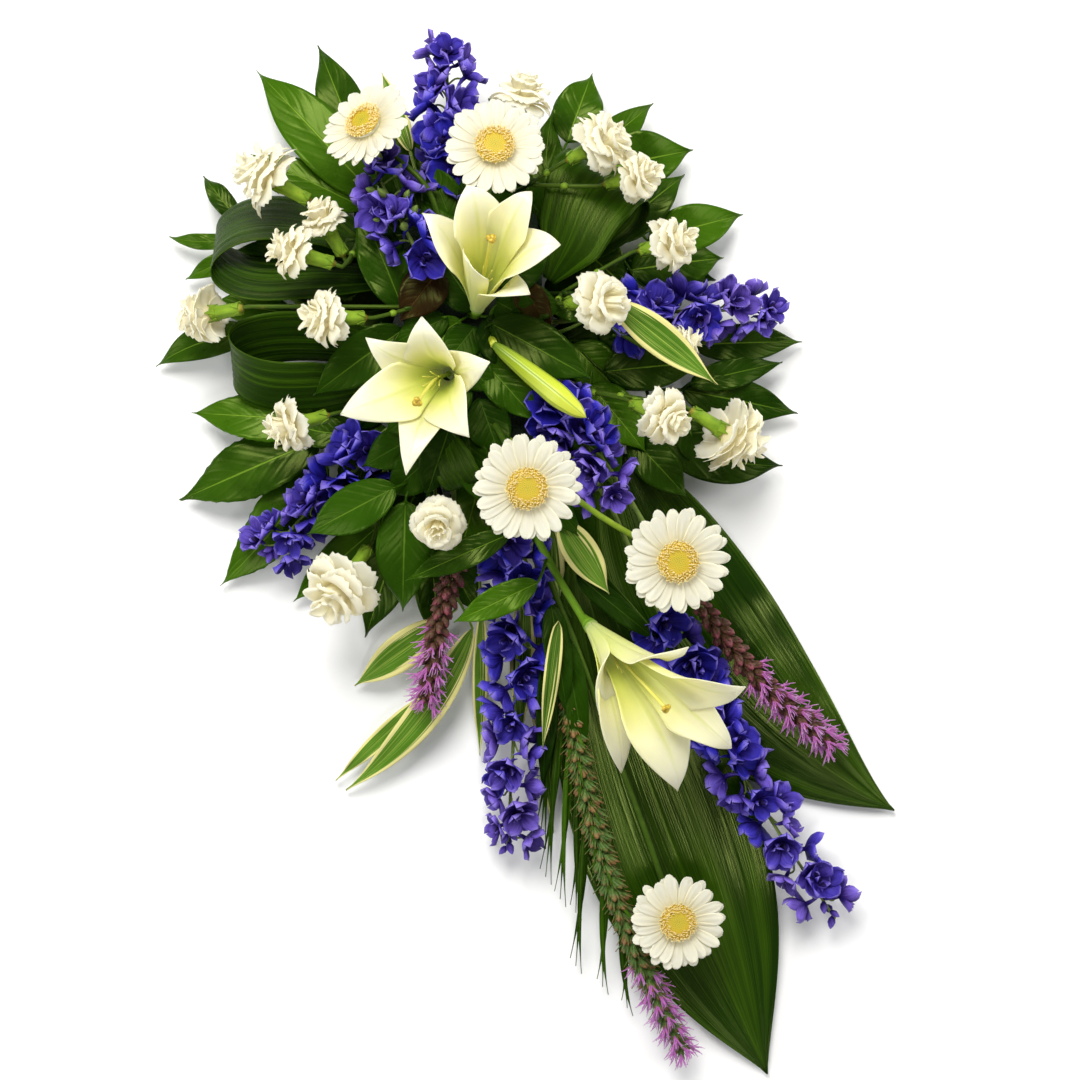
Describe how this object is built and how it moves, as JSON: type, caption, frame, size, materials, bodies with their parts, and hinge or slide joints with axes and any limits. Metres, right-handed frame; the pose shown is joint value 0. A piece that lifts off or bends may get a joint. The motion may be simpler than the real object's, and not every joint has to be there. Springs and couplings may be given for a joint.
{
  "type": "casket spray",
  "caption": "Flat teardrop flower arrangement for a coffin lid: gerberas, lilies, carnations, delphinium and liatris spikes and broad leaves in foam on a tray.",
  "frame": {"origin": "middle of the tray's flat underside", "axes": "+Z up; +Y from the trailing end towards the broad end; +X to the right, seen from above with +Y up"},
  "size_m": [0.6622, 0.9211, 0.2051],
  "materials": {
    "tray_green": "matte",
    "foam_green": "matte",
    "gerbera_white": "matte",
    "gerbera_stem_green": "matte",
    "lily_white": "matte",
    "lily_stem_green": "satin",
    "carnation_white": "matte",
    "delphinium_blue": "matte",
    "liatris_purple": "matte",
    "aspidistra_green": "satin",
    "leaf_green": "satin",
    "variegated_green": "satin"
  },
  "bodies": {
    "root": {"tray": "tray_green", "foam": "foam_green", "gerbera_1_petals": "gerbera_white", "gerbera_1_stem": "gerbera_stem_green", "gerbera_2_petals": "gerbera_white", "gerbera_2_stem": "gerbera_stem_green", "gerbera_3_petals": "gerbera_white", "gerbera_3_stem": "gerbera_stem_green", "gerbera_4_petals": "gerbera_white", "gerbera_4_stem": "gerbera_stem_green", "gerbera_5_petals": "gerbera_white", "gerbera_5_stem": "gerbera_stem_green", "lily_1_tepals": "lily_white", "lily_1_stem": "lily_stem_green", "lily_2_tepals": "lily_white", "lily_2_stem": "lily_stem_green", "lily_3_tepals": "lily_white", "lily_3_stem": "lily_stem_green", "lily_bud": "lily_stem_green", "carnation_spray_1": "carnation_white", "carnation_spray_2": "carnation_white", "carnation_spray_3": "carnation_white", "carnation_spray_4": "carnation_white", "carnation_spray_5": "carnation_white", "carnation_spray_6": "carnation_white", "carnation_spray_7": "carnation_white", "delphinium_1": "delphinium_blue", "delphinium_2": "delphinium_blue", "delphinium_3": "delphinium_blue", "delphinium_4": "delphinium_blue", "delphinium_5": "delphinium_blue", "delphinium_6": "delphinium_blue", "delphinium_7": "delphinium_blue", "liatris_1": "liatris_purple", "liatris_2": "liatris_purple", "liatris_3": "liatris_purple", "aspidistra_1": "aspidistra_green", "aspidistra_2": "aspidistra_green", "aspidistra_3": "aspidistra_green", "aspidistra_4": "aspidistra_green", "aspidistra_5": "aspidistra_green", "aspidistra_6": "aspidistra_green", "leafy_stem_1": "leaf_green", "leafy_stem_2": "leaf_green", "leafy_stem_3": "leaf_green", "leafy_stem_4": "leaf_green", "leafy_stem_5": "leaf_green", "leafy_stem_6": "leaf_green", "leafy_stem_7": "leaf_green", "leafy_stem_8": "leaf_green", "leafy_stem_9": "leaf_green", "leafy_stem_10": "leaf_green", "leafy_stem_11": "leaf_green", "leafy_stem_12": "leaf_green", "variegated_stem_1": "variegated_green", "variegated_stem_2": "variegated_green", "variegated_stem_3": "variegated_green", "variegated_stem_4": "variegated_green", "variegated_stem_5": "variegated_green", "variegated_stem_6": "variegated_green"}
  },
  "joints": []
}
